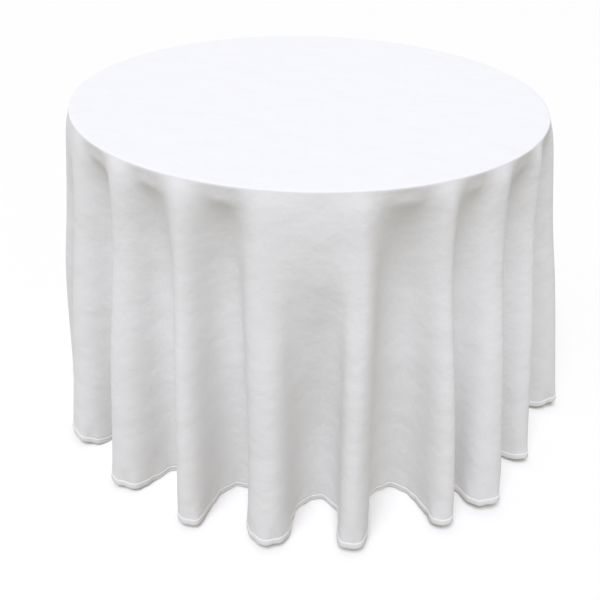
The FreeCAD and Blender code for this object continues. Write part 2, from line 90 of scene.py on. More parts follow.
# ---------------------------------------------------------------------------------------------------------
# Finishes
# ---------------------------------------------------------------------------------------------------------
class Nodes:
    """A short way to lay out a material's node tree."""

    def __init__(self, name: str) -> None:
        """Start a material that holds one Principled shader.

        Args:
            name: The material's name.
        """
        self.material = bpy.data.materials.new(name)
        self.material.use_nodes = True
        self.tree = self.material.node_tree
        self.shader = self.tree.nodes["Principled BSDF"]

    def add(self, kind: str, inputs: dict[Any, Any] | None = None, **settings: Any) -> bpy.types.Node:
        """Add a node.

        Args:
            kind: The node's type name, without its ShaderNode prefix.
            inputs: Socket name or number to a value, or to a socket that feeds it.
            **settings: The node's own properties.

        Returns:
            The new node.
        """
        node = self.tree.nodes.new("ShaderNode" + kind)
        for key, value in settings.items():
            setattr(node, key, value)
        for key, value in (inputs or {}).items():
            self.feed(node.inputs[key], value)
        return node

    def feed(self, socket: bpy.types.NodeSocket, value: Any) -> None:
        """Link a socket to another, or set its value.

        Args:
            socket: The socket to feed.
            value: A plain value, or the socket that feeds it.
        """
        if isinstance(value, bpy.types.NodeSocket):
            self.tree.links.new(value, socket)
        else:
            socket.default_value = value

    def maths(self, operation: str, first: Any, second: Any = 0.0) -> bpy.types.NodeSocket:
        """Combine two values.

        Args:
            operation: The Math node's operation.
            first: The first value or socket.
            second: The second value or socket.

        Returns:
            The result's socket.
        """
        return self.add("Math", {0: first, 1: second}, operation=operation).outputs[0]

    def noise(self, vector: bpy.types.NodeSocket, scale: float, detail: float = 3.0) -> bpy.types.NodeSocket:
        """A noise pattern.

        Args:
            vector: Where to read it.
            scale: Its scale, in features per metre.
            detail: How many finer layers it has.

        Returns:
            The socket of its value, from 0 to 1.
        """
        return self.add("TexNoise", {"Vector": vector, "Scale": scale, "Detail": detail}).outputs["Fac"]

    def ramp(self, value: bpy.types.NodeSocket, low: Colour, high: Colour) -> bpy.types.NodeSocket:
        """A colour between two others.

        Args:
            value: The share of the second colour.
            low: The colour at 0.
            high: The colour at 1.

        Returns:
            The colour's socket.
        """
        mix = self.add("Mix", {0: value}, data_type="RGBA")
        colours = [socket for socket in mix.inputs if socket.type == "RGBA"]
        colours[0].default_value = (*low, 1.0)
        colours[1].default_value = (*high, 1.0)
        return next(socket for socket in mix.outputs if socket.type == "RGBA")

    def span(self, value: bpy.types.NodeSocket, low: float, high: float) -> bpy.types.NodeSocket:
        """A value from 0 to 1 moved to a range.

        Args:
            value: The socket to move.
            low: The result at 0.
            high: The result at 1.

        Returns:
            The result's socket.
        """
        return self.maths("ADD", self.maths("MULTIPLY", value, high - low), low)

    def place(self) -> bpy.types.NodeSocket:
        """The socket of a piece's own coordinates, in metres."""
        return self.add("TexCoord").outputs["Object"]

    def scaled(self, vector: bpy.types.NodeSocket, scale: tuple[float, float, float]) -> bpy.types.NodeSocket:
        """Coordinates stretched along each axis.

        Args:
            vector: The coordinates' socket.
            scale: The scale along each axis.

        Returns:
            The stretched coordinates' socket.
        """
        return self.add("VectorMath", {0: vector, 1: scale}, operation="MULTIPLY").outputs[0]

    def blend(self, first: Any, first_share: float, second: Any, second_share: float) -> bpy.types.NodeSocket:
        """A weighted sum of two patterns.

        Args:
            first: The first pattern's socket.
            first_share: Its weight.
            second: The second pattern's socket.
            second_share: Its weight.

        Returns:
            The sum's socket.
        """
        weighted = [self.maths("MULTIPLY", *pair) for pair in ((first, first_share), (second, second_share))]
        return self.maths("ADD", *weighted)

    def bump(self, height: bpy.types.NodeSocket, distance: float, after: Any = None) -> bpy.types.NodeSocket:
        """A bump from a height.

        Args:
            height: The height's socket, where 1 is one distance high.
            distance: That distance in metres.
            after: The socket of a bump to add to, if any.

        Returns:
            The normal's socket.
        """
        node = self.add("Bump", {"Height": height, "Distance": distance, "Strength": 1.0})
        if after is not None:
            self.feed(node.inputs["Normal"], after)
        return node.outputs["Normal"]

    def set(self, **values: Any) -> None:
        """Set or feed the shader's sockets; an underscore in a name stands for a space."""
        for key, value in values.items():
            self.feed(self.shader.inputs[key.replace("_", " ")], value)


class Finish(ABC):
    """A finish that makes its own material."""

    name: str

    @abstractmethod
    def lay(self, nodes: Nodes) -> None:
        """Lay out the finish's nodes.

        Args:
            nodes: The material's node tree.
        """

    def make(self) -> bpy.types.Material:
        """Make the finish's material.

        Returns:
            The new material.
        """
        nodes = Nodes(self.name)
        self.lay(nodes)
        return nodes.material


@dataclass(frozen=True)
class ClothFinish(Finish):
    """Fine white table linen, seen through the coordinates of the flat cut cloth.

    Attributes:
        yarn_pitch: The distance between yarns.
        yarn_height: How far the yarns and their slubs stand up.
        slub: How fast the yarns' thickness changes across them and along them, in features per metre.
        cut_width: The side of the square that the cloth's flat coordinates cover.
        crumple_scale: The number of soft crumples in a metre.
        crumple_height: Their depth.
    """

    name: str = "white_table_linen"
    light: Colour = (0.872, 0.867, 0.860)
    shade: Colour = (0.842, 0.835, 0.828)
    yarn_pitch: float = 0.00055
    yarn_height: float = 0.00004
    slub: tuple[float, float] = (1400.0, 30.0)
    cut_width: float = 2.62
    crumple_scale: float = 15.0
    crumple_height: float = 0.004

    def lay(self, nodes: Nodes) -> None:
        """Lay out yarns, slubs, soft mottling and a matt surface with a little sheen."""
        flat = nodes.scaled(nodes.add("UVMap", uv_map="cut").outputs["UV"], (self.cut_width,) * 3)
        across, along = self.slub
        warp_slub = nodes.noise(nodes.scaled(flat, (across, along, 1.0)), 1.0, 2.0)
        weft_slub = nodes.noise(nodes.scaled(flat, (along, across, 1.0)), 1.0, 2.0)
        slubs = nodes.maths("MULTIPLY", nodes.maths("ADD", warp_slub, weft_slub), 0.5)
        tone = nodes.blend(nodes.noise(flat, 9.0), 0.5, slubs, 0.5)
        nodes.set(Base_Color=nodes.ramp(tone, self.shade, self.light))
        nodes.set(Roughness=nodes.span(slubs, 0.78, 0.92), Specular_IOR_Level=0.12)
        nodes.set(Sheen_Weight=0.03, Sheen_Roughness=0.4)
        crumple = nodes.bump(nodes.noise(flat, self.crumple_scale, 4.0), self.crumple_height)
        height = nodes.maths("ADD", slubs, self.crossings(nodes, flat))
        nodes.set(Normal=nodes.bump(height, self.yarn_height, crumple))

    def crossings(self, nodes: Nodes, flat: bpy.types.NodeSocket) -> bpy.types.NodeSocket:
        """The rounded bumps of a plain weave, one at each crossing.

        Args:
            nodes: The material's node tree.
            flat: The coordinates' socket.

        Returns:
            The height's socket.
        """
        axes = nodes.add("SeparateXYZ", {0: flat})
        turns = FULL_TURN / (2 * self.yarn_pitch)
        waves = [nodes.maths("SINE", nodes.maths("MULTIPLY", axes.outputs[i], turns)) for i in (0, 1)]
        return nodes.maths("MULTIPLY", *waves)


@dataclass(frozen=True)
class ThreadFinish(Finish):
    """White sewing thread with the twist of its plies."""

    name: str = "white_sewing_thread"
    colour: Colour = (0.93, 0.93, 0.94)
    fleck: Colour = (0.86, 0.86, 0.88)

    def lay(self, nodes: Nodes) -> None:
        """Lay out a slightly glossy twisted thread."""
        plies = nodes.noise(nodes.place(), 2600.0, 1.0)
        nodes.set(Base_Color=nodes.ramp(plies, self.fleck, self.colour), Sheen_Weight=0.2)
        nodes.set(Roughness=nodes.span(plies, 0.5, 0.7), Normal=nodes.bump(plies, 0.00005))


@dataclass(frozen=True)
class BoardFinish(Finish):
    """Sealed wood with a grain along one axis.

    Attributes:
        early: The colour of the wood that grows early in a year.
        late: The colour of the wood that grows late in it.
        grain: How fast the wood changes along each axis, which is slowest along its grain.
        rings: The scale of its figure and its pores.
    """

    name: str
    early: Colour
    late: Colour
    grain: tuple[float, float, float] = (1.0, 14.0, 14.0)
    rings: float = 9.0

    def lay(self, nodes: Nodes) -> None:
        """Lay out long grain, fine pores and a thin satin seal."""
        drawn = nodes.scaled(nodes.place(), self.grain)
        pores = nodes.noise(drawn, self.rings * 9, 2.0)
        share = nodes.blend(nodes.noise(drawn, self.rings / 4, 5.0), 0.75, pores, 0.3)
        nodes.set(Base_Color=nodes.ramp(share, self.late, self.early), Coat_Weight=0.15, Coat_Roughness=0.35)
        nodes.set(Roughness=nodes.span(pores, 0.38, 0.62), Normal=nodes.bump(pores, 0.0002))


@dataclass(frozen=True)
class MouldedFinish(Finish):
    """Moulded plastic or rubber with a fine grained surface.

    Attributes:
        colour: The colour of a fresh surface.
        worn: The colour where it is scuffed.
        gloss: The roughness of a fresh and of a scuffed surface.
        grain: The depth of the moulded grain.
    """

    name: str
    colour: Colour
    worn: Colour
    gloss: tuple[float, float] = (0.45, 0.65)
    grain: float = 0.00006

    def lay(self, nodes: Nodes) -> None:
        """Lay out a speckled skin that is a little paler where it is scuffed."""
        scuffs = nodes.noise(nodes.place(), 60.0, 6.0)
        skin = nodes.noise(nodes.place(), 1500.0, 2.0)
        nodes.set(Base_Color=nodes.ramp(scuffs, self.colour, self.worn))
        nodes.set(Roughness=nodes.span(scuffs, *self.gloss), Normal=nodes.bump(skin, self.grain))


@dataclass(frozen=True)
class PowderCoatFinish(Finish):
    """Dark powder coat with the orange peel of baked paint."""

    name: str = "charcoal_powder_coat"
    colour: Colour = (0.055, 0.058, 0.062)
    rubbed: Colour = (0.10, 0.10, 0.105)

    def lay(self, nodes: Nodes) -> None:
        """Lay out the peel, a faint rub and an even semi-gloss."""
        peel = nodes.noise(nodes.place(), 420.0, 2.0)
        rub = nodes.noise(nodes.place(), 35.0, 5.0)
        nodes.set(Base_Color=nodes.ramp(rub, self.colour, self.rubbed), Roughness=nodes.span(rub, 0.32, 0.5))
        nodes.set(Normal=nodes.bump(peel, 0.00012), Coat_Weight=0.2, Coat_Roughness=0.3)


@dataclass(frozen=True)
class ZincFinish(Finish):
    """Bright zinc plate with soft spangles."""

    name: str = "zinc_plate"
    bright: Colour = (0.72, 0.73, 0.75)
    dull: Colour = (0.52, 0.53, 0.54)

    def lay(self, nodes: Nodes) -> None:
        """Lay out spangles and a light tarnish, which change the tone and the gloss."""
        spangle = nodes.add("TexVoronoi", {"Vector": nodes.place(), "Scale": 260.0}).outputs["Distance"]
        tarnish = nodes.noise(nodes.place(), 45.0, 5.0)
        share = nodes.blend(spangle, 0.4, tarnish, 0.6)
        nodes.set(Base_Color=nodes.ramp(share, self.bright, self.dull), Metallic=1.0)
        nodes.set(Roughness=nodes.span(share, 0.25, 0.5), Normal=nodes.bump(tarnish, 0.00008))


@dataclass(frozen=True)
class FloorFinish(Finish):
    """A plain pale studio floor."""

    name: str = "pale_floor"
    colour: Colour = (0.900, 0.884, 0.846)

    def lay(self, nodes: Nodes) -> None:
        """Lay out an even matt floor."""
        nodes.set(Base_Color=(*self.colour, 1.0), Roughness=0.9, Specular_IOR_Level=0.1)


def stand(name: str, data: bpy.types.ID) -> bpy.types.Object:
    """Put a mesh, a camera or a light in the scene.

    Args:
        name: The object's name.
        data: Its mesh, camera or light.

    Returns:
        The object.
    """
    thing = bpy.data.objects.new(name, data)
    bpy.context.scene.collection.objects.link(thing)
    return thing


def dress(piece: bpy.types.Object, material: bpy.types.Material) -> None:
    """Give a piece one material.

    Args:
        piece: The piece to dress.
        material: Its material.
    """
    piece.data.materials.clear()
    piece.data.materials.append(material)


# ---------------------------------------------------------------------------------------------------------
# Studio
# ---------------------------------------------------------------------------------------------------------
@dataclass
class Studio:
    """The camera, the floor and the soft lights.

    Attributes:
        reach: The radius of the covered top, which the camera's place is counted in.
        top: The height of the covered top.
        lens: The lens's focal length and the sensor's width, in millimetres.
        back: How far the camera stands in front of the table's middle, in radii.
        above: How far it stands above the covered top, in radii.
        pitch: How far it looks down, in degrees.
        yaw: How far it is turned to the right.
        roll: How far it is tilted.
        floor_radius: The floor's radius.
        floor_sides: The floor's corners.
        sun_power: The broad light's strength.
        sun_width: The angle that it covers in the sky, in degrees.
        sun_colour: Its colour.
        sun_side: How far it stands to the left, as a share of its height.
        sun_front: How far it stands in front, as a share of its height.
        sky_colour: The colour of the even light from all round.
        sky_strength: Its strength.
    """

    reach: float
    top: float
    lens: tuple[float, float] = (36.0, 36.0)
    back: float = 2.6498
    above: float = 0.8021
    pitch: float = 36.152
    yaw: float = -0.479
    roll: float = 1.167
    floor_radius: float = 14.0
    floor_sides: int = 96
    sun_power: float = 2.12
    sun_width: float = 34.0
    sun_colour: Colour = (0.95, 0.985, 1.12)
    sun_side: float = 0.13
    sun_front: float = 0.32
    sky_colour: Colour = (1.02, 1.0, 0.955)
    sky_strength: float = 0.50

    def make_camera(self) -> None:
        """Stand the camera in front of the table, looking down on it."""
        pitch, yaw, roll = (math.radians(angle) for angle in (self.pitch, self.yaw, self.roll))
        ahead = Vector((math.sin(yaw) * math.cos(pitch), math.cos(yaw) * math.cos(pitch), -math.sin(pitch)))
        right = Vector((math.cos(yaw), -math.sin(yaw), 0.0))
        up = right.cross(ahead)
        across = right * math.cos(roll) + up * math.sin(roll)
        upward = up * math.cos(roll) - right * math.sin(roll)
        camera = stand("camera", bpy.data.cameras.new("camera"))
        camera.data.lens, camera.data.sensor_width = self.lens
        turn = Matrix((across, upward, -ahead)).transposed().to_4x4()
        place = Vector((0.0, -self.back * self.reach, self.top + self.above * self.reach))
        camera.matrix_world = Matrix.Translation(place) @ turn
        bpy.context.scene.camera = camera

    def make_floor(self) -> None:
        """Lay a round pale floor."""
        turns = [FULL_TURN * i / self.floor_sides for i in range(self.floor_sides)]
        corners = [self.floor_radius * Vector((math.cos(turn), math.sin(turn), 0.0)) for turn in turns]
        mesh = bpy.data.meshes.new("floor")
        mesh.from_pydata(corners, [], [list(range(self.floor_sides))])
        floor = stand("floor", mesh)
        dress(floor, FloorFinish().make())
        floor.visible_diffuse = False

    def make_lights(self) -> None:
        """Shine a broad soft light down from a little to the left in front, under an even pale sky."""
        sun = bpy.data.lights.new("broad_light", "SUN")
        sun.energy, sun.angle, sun.color = self.sun_power, math.radians(self.sun_width), self.sun_colour
        lamp = stand("broad_light", sun)
        towards = Vector((-self.sun_side, -self.sun_front, 1.0))
        lamp.rotation_euler = towards.to_track_quat("Z", "Y").to_euler()
        world = bpy.data.worlds.new("sky")
        world.use_nodes = True
        background = world.node_tree.nodes["Background"]
        background.inputs["Color"].default_value = (*self.sky_colour, 1.0)
        background.inputs["Strength"].default_value = self.sky_strength
        scene = bpy.context.scene
        scene.world = world
        scene.view_settings.view_transform = "Standard"
        scene.view_settings.look = "None"


# ---------------------------------------------------------------------------------------------------------
# Tablecloth
# ---------------------------------------------------------------------------------------------------------
@dataclass(frozen=True)
class Flute:
    """One outward fold of the skirt and the valley that follows it.

    Attributes:
        rim: The bearings of its ridge and its valley at the rim, in degrees from the front towards +X.
        hem: The same bearings at the hem.
        radii: The distances of its ridge and its valley from the middle at the hem, in metres.
        onset: The share of the drop at which its valley begins.
        before: How the cloth turns just before its crest.
        after: How it turns just after it.
    """

    rim: tuple[float, float]
    hem: tuple[float, float]
    radii: tuple[float, float]
    onset: float = 0.0
    before: Crest = Crest.NARROW
    after: Crest = Crest.NARROW


FLUTES: tuple[Flute, ...] = (
    Flute((-57.5, -47.5), (-56.0, -45.0), (0.706, 0.590), after=Crest.BROAD),
    Flute((-40.0, -31.6), (-38.6, -28.8), (0.686, 0.582), after=Crest.BROAD),
    Flute((-23.6, -15.4), (-21.3, -13.5), (0.692, 0.555)),
    Flute((-6.5, 1.5), (-4.9, 4.2), (0.702, 0.571), 0.30, before=Crest.BROAD),
    Flute((9.4, 18.7), (9.4, 20.5), (0.714, 0.569)),
    Flute((27.1, 33.3), (27.9, 31.4), (0.719, 0.625)),
    Flute((41.0, 49.0), (38.6, 44.6), (0.726, 0.605), before=Crest.BROAD),
    Flute((56.0, 64.5), (51.8, 61.0), (0.703, 0.585)),
    Flute((73.6, 82.6), (70.8, 80.0), (0.732, 0.590), 0.05),
    Flute((90.1, 97.8), (88.5, 96.0), (0.702, 0.575)),
    Flute((104.8, 112.0), (103.5, 111.0), (0.688, 0.592), 0.2),
    Flute((119.4, 127.2), (118.0, 125.5), (0.708, 0.570)),
    Flute((135.0, 142.3), (133.5, 141.0), (0.694, 0.585)),
    Flute((150.2, 158.6), (148.0, 156.0), (0.712, 0.572), 0.28),
    Flute((166.2, 173.4), (164.0, 172.5), (0.690, 0.588)),
    Flute((180.8, 188.8), (180.0, 187.0), (0.704, 0.570)),
    Flute((197.2, 205.2), (194.5, 203.0), (0.712, 0.588), 0.12),
    Flute((212.2, 219.8), (211.0, 218.5), (0.692, 0.572)),
    Flute((228.0, 235.4), (226.0, 234.0), (0.706, 0.590)),
    Flute((242.6, 250.2), (242.0, 249.5), (0.694, 0.575), 0.24),
    Flute((258.4, 265.8), (257.0, 264.5), (0.710, 0.590)),
    Flute((272.6, 280.2), (272.0, 279.5), (0.690, 0.575)),
    Flute((288.0, 295.6), (284.0, 292.5), (0.646, 0.568), 0.1),
)

HEM_SECTION: tuple[tuple[int, float, float], ...] = (
    (0, -0.3, 0.0), (0, 0.0, 0.8), (0, 1.0, 1.0), (1, 0.0, 1.1), (2, -1.0, 1.0), (2, 0.0, 0.6),
    (2, 0.6, 0.0), (2, 0.0, -0.6), (2, -1.0, -1.0), (1, 0.0, -1.1), (0, 1.0, -1.0), (0, 0.0, -0.8),
)
"""The hem's section as it wraps the cloth.  Each corner has the row of the cloth that it is beside, where
0 is the hem's upper edge and 2 its fold, and how far down and out it is from there, in halves of the hem's
thickness."""

STITCH_SIDES = 5
STITCH_RINGS = ((0.25, 0.9, 0.0), (1.0, 1.1, 0.0001), (0.25, 0.9, 0.0))
"""A stitch's beginning, middle and end.  Each has its share of the thread's radius, and how high it lies
above the middle of the hem, in halves of the hem's thickness and then in metres on top."""


@dataclass
class PleatWave:
    """The shape of a strip of cloth that is pushed together along its length.

    It is the curve whose direction swings like a sine, which is how a thin sheet buckles.  It is worked out
    beforehand for a row of swings.

    Attributes:
        lean: Where the strip is steepest: half way at 1, and nearer its start below that.
        steps: The number of straight steps that its curve is added up from.
        swings: The swings that it is worked out for, in radians.
    """

    lean: float = 0.8
    steps: int = 64
    swings: Points = field(default_factory=lambda: np.linspace(0.01, 2.2, 220))

    def __post_init__(self) -> None:
        """Work out the tables: the way along and the way across for each swing, and their totals."""
        share = np.linspace(0.0, 1.0, self.steps + 1)
        middle = (share[1:] + share[:-1]) / 2
        angle = self.swings[:, None] * np.sin(math.pi * middle**self.lean)[None, :]
        start = np.zeros((len(self.swings), 1))
        along = np.concatenate([start, np.cumsum(np.cos(angle), axis=1)], axis=1) / self.steps
        across = np.concatenate([start, np.cumsum(np.sin(angle), axis=1)], axis=1) / self.steps
        self.chord = along[:, -1]
        self.height = across[:, -1]
        self.along = along / self.chord[:, None]
        self.across = across / self.height[:, None]
        self.share = share

    def swing_for(self, ratio: float) -> float:
        """The swing of a strip whose ends are brought together.

        Args:
            ratio: The distance between its ends as a share of its length.

        Returns:
            The largest angle that it turns through, in radians.
        """
        return float(np.interp(-ratio, -self.chord, self.swings))

    def read(self, swing: float, share: Points) -> tuple[Points, Points, float]:
        """The strip's shape at some shares of its length.

        Args:
            swing: Its swing.
            share: The shares, from 0 to 1.

        Returns:
            The shares of its way along and of its way across, and its height as a share of its length.
        """
        place = np.interp(swing, self.swings, np.arange(len(self.swings)))
        low = min(int(place), len(self.swings) - 2)
        part = place - low
        along = self.along[low] * (1 - part) + self.along[low + 1] * part
        across = self.across[low] * (1 - part) + self.across[low + 1] * part
        height = float(np.interp(swing, self.swings, self.height))
        return np.interp(share, self.share, along), np.interp(share, self.share, across), height


def smooth(low: float, high: float, value: Any) -> Any:
    """A smooth step from 0 at low to 1 at high.

    Args:
        low: Where it starts.
        high: Where it ends.
        value: A number or an array.

    Returns:
        The step's value there.
    """
    part = np.clip((np.asarray(value, float) - low) / max(high - low, TINY), 0.0, 1.0)
    return part * part * (3 - 2 * part)


def outward(grid: Points) -> Points:
    """The directions that point out of a skirt.

    Args:
        grid: Its points, by row and column.

    Returns:
        A unit direction for each point.
    """
    along = np.roll(grid, -1, axis=1) - np.roll(grid, 1, axis=1)
    down = np.gradient(grid, axis=0)
    out = np.cross(down, along)
    return out / np.maximum(np.linalg.norm(out, axis=2), TINY)[:, :, None]


def grid_mesh(
    name: str, grid: Points, middle: tuple[float, float, float] | None = None, tube: bool = False
) -> bpy.types.Mesh:
    """A smooth mesh of quads between rows that close on themselves.

    Args:
        name: The mesh's name.
        grid: Its points, by row and column.
        middle: A point to close the first row with, if any.
        tube: Whether the last row joins the first.

    Returns:
        The mesh.
    """
    count, columns = grid.shape[:2]
    first = np.arange(columns)
    after = (first + 1) % columns
    quads = []
    for k in range(count if tube else count - 1):
        here, below = k * columns, (k + 1) % count * columns
        quads.append(np.stack([here + first, below + first, below + after, here + after], 1))
    points, faces = grid.reshape(-1, 3).tolist(), np.concatenate(quads).tolist()
    if middle is not None:
        faces += [[int(i), int(j), len(points)] for i, j in zip(first, after)]
        points.append(list(middle))
    mesh = bpy.data.meshes.new(name)
    mesh.from_pydata(points, [], faces)
    mesh.polygons.foreach_set("use_smooth", [True] * len(mesh.polygons))
    return mesh


@dataclass
class Settling:
    """A cloth simulation that lets the laid-up skirt settle without stretching.

    Each pass pulls the cloth down, draws it towards its folds, moves neighbouring points until every thread
    and every diagonal is as long as it is on the flat cut cloth, and holds it off the table and the floor.

    Attributes:
        cut: The points on the flat cut cloth, by row and column.
        guide: The laid-up skirt, which the folds are drawn back to.
        edge: The radius that the cloth keeps outside of at the table's edge.
        edge_low: The height down to which it does.
        passes: The number of passes.
        held_rows: The rows at the top that stay where they are.
        weight: How far the cloth's weight pulls it down in the first pass.
        draw: The share of its way back to its folds that it is drawn in the first pass.
        bend_span: The number of threads that a fold is spread over at the least.
        bend_limit: The share of their length that those threads keep between their ends.
        bend_strength: The share of a sharper fold that is opened in a pass.
        stiffness: The share of a small ripple that is taken out in a pass.
        slant_strength: The share of a diagonal's error that is taken out in a pass.
        floor_gap: The lowest height of the hem.
    """

    cut: Points
    guide: Points
    edge: float
    edge_low: float
    passes: int = 500
    held_rows: int = 3
    weight: float = 0.00004
    draw: float = 0.004
    bend_span: int = 3
    bend_limit: float = 0.92
    bend_strength: float = 0.3
    stiffness: float = 0.3
    slant_strength: float = 0.35
    floor_gap: float = 0.003

    @property
    def free(self) -> slice:
        """The rows that may move."""
        return slice(self.held_rows, None)

    def run(self) -> Points:
        """Settle the skirt.

        Returns:
            Its points, in the same order.
        """
        cloth, free = self.guide.copy(), self.free
        for i in range(self.passes):
            late = i / self.passes
            cloth[free, :, 2] -= self.weight * (1 - late)
            back = self.guide[free, :, :2] - cloth[free, :, :2]
            cloth[free, :, :2] += back * self.draw * (1 - 0.5 * late)
            self.keep_round(cloth)
            self.even_out(cloth)
            self.keep_lengths(cloth)
            self.keep_off(cloth)
        return cloth

    def keep_lengths(self, cloth: Points) -> None:
        """Bring threads and diagonals back to their lengths on the flat cloth.

        Args:
            cloth: The points to move.
        """
        for turn, strength in ((0, 1.0), (1, self.slant_strength), (-1, self.slant_strength)):
            for start in (0, 1):
                self.pull(cloth, start, turn, strength)
        for start in (0, 1):
            self.pull_round(cloth, start)

    def pull(self, cloth: Points, start: int, turn: int, strength: float) -> None:
        """Correct every second pair of rows.

        Args:
            cloth: The points to move.
            start: The first row, 0 or 1.
            turn: How many columns the pair leans: 0 is a thread down the skirt, 1 and -1 are diagonals.
            strength: The share of the error to correct.
        """
        above = start + 2 * np.arange((len(cloth) - start) // 2)
        rest = np.linalg.norm(np.roll(self.cut[above + 1], -turn, axis=1) - self.cut[above], axis=2)
        gap = np.roll(cloth[above + 1], -turn, axis=1) - cloth[above]
        move = self.correction(gap, rest, strength)
        above_free, below_free = (
            (rows >= self.held_rows).astype(float)[:, None, None] for rows in (above, above + 1)
        )
        total = np.maximum(above_free + below_free, 1.0)
        cloth[above] += move * above_free / total
        cloth[above + 1] -= np.roll(move * below_free / total, turn, axis=1)

    @staticmethod
    def correction(gap: Points, rest: Points, strength: float) -> Points:
        """The way that brings two points back to their distance.

        Args:
            gap: The way from each first point to its second.
            rest: Their distance on the flat cloth.
            strength: The share of the error to correct.

        Returns:
            How far each pair moves together.
        """
        length = np.linalg.norm(gap, axis=2)
        return gap * ((length - rest) / np.maximum(length, TINY) * strength)[:, :, None]

    def pull_round(self, cloth: Points, start: int) -> None:
        """Correct every second thread that runs round the skirt.

        Args:
            cloth: The points to move.
            start: The first column, 0 or 1.
        """
        turned, flat = np.roll(cloth, -start, axis=1), np.roll(self.cut, -start, axis=1)
        first, second = turned[self.free, 0::2], turned[self.free, 1::2]
        rest = np.linalg.norm(flat[self.free, 1::2] - flat[self.free, 0::2], axis=2)
        move = self.correction(second - first, rest, 0.5)
        first += move
        second -= move
        cloth[:] = np.roll(turned, start, axis=1)

    def keep_round(self, cloth: Points) -> None:
        """Keep folds from creasing sharper than the cloth's stiffness lets them.

        Args:
            cloth: The points to move.
        """
        rest = np.linalg.norm(np.roll(self.cut, -self.bend_span, axis=1) - self.cut, axis=2) * self.bend_limit
        gap = np.roll(cloth, -self.bend_span, axis=1) - cloth
        length = np.linalg.norm(gap, axis=2)
        move = self.correction(gap, np.maximum(length, rest), 0.5 * self.bend_strength)
        cloth[self.free] += move[self.free]
        cloth[self.free] -= np.roll(move, self.bend_span, axis=1)[self.free]

    def even_out(self, cloth: Points) -> None:
        """Resist small ripples, as the cloth's bending stiffness does, without flattening the laid-up folds.

        Args:
            cloth: The points to move.
        """
        moved = cloth - self.guide
        beside = (np.roll(moved, 1, axis=1) + np.roll(moved, -1, axis=1)) / 2
        cloth[self.free] += (beside - moved)[self.free] * self.stiffness

    def keep_off(self, cloth: Points) -> None:
        """Hold the cloth outside the table's edge and off the floor.

        Args:
            cloth: The points to move.
        """
        free = cloth[self.free]
        radius = np.hypot(free[:, :, 0], free[:, :, 1])
        beside = free[:, :, 2] > self.edge_low
        out = np.where(beside & (radius < self.edge), self.edge / radius, 1.0)
        free[:, :, :2] *= out[:, :, None]
        free[:, :, 2] = np.maximum(free[:, :, 2], self.floor_gap)


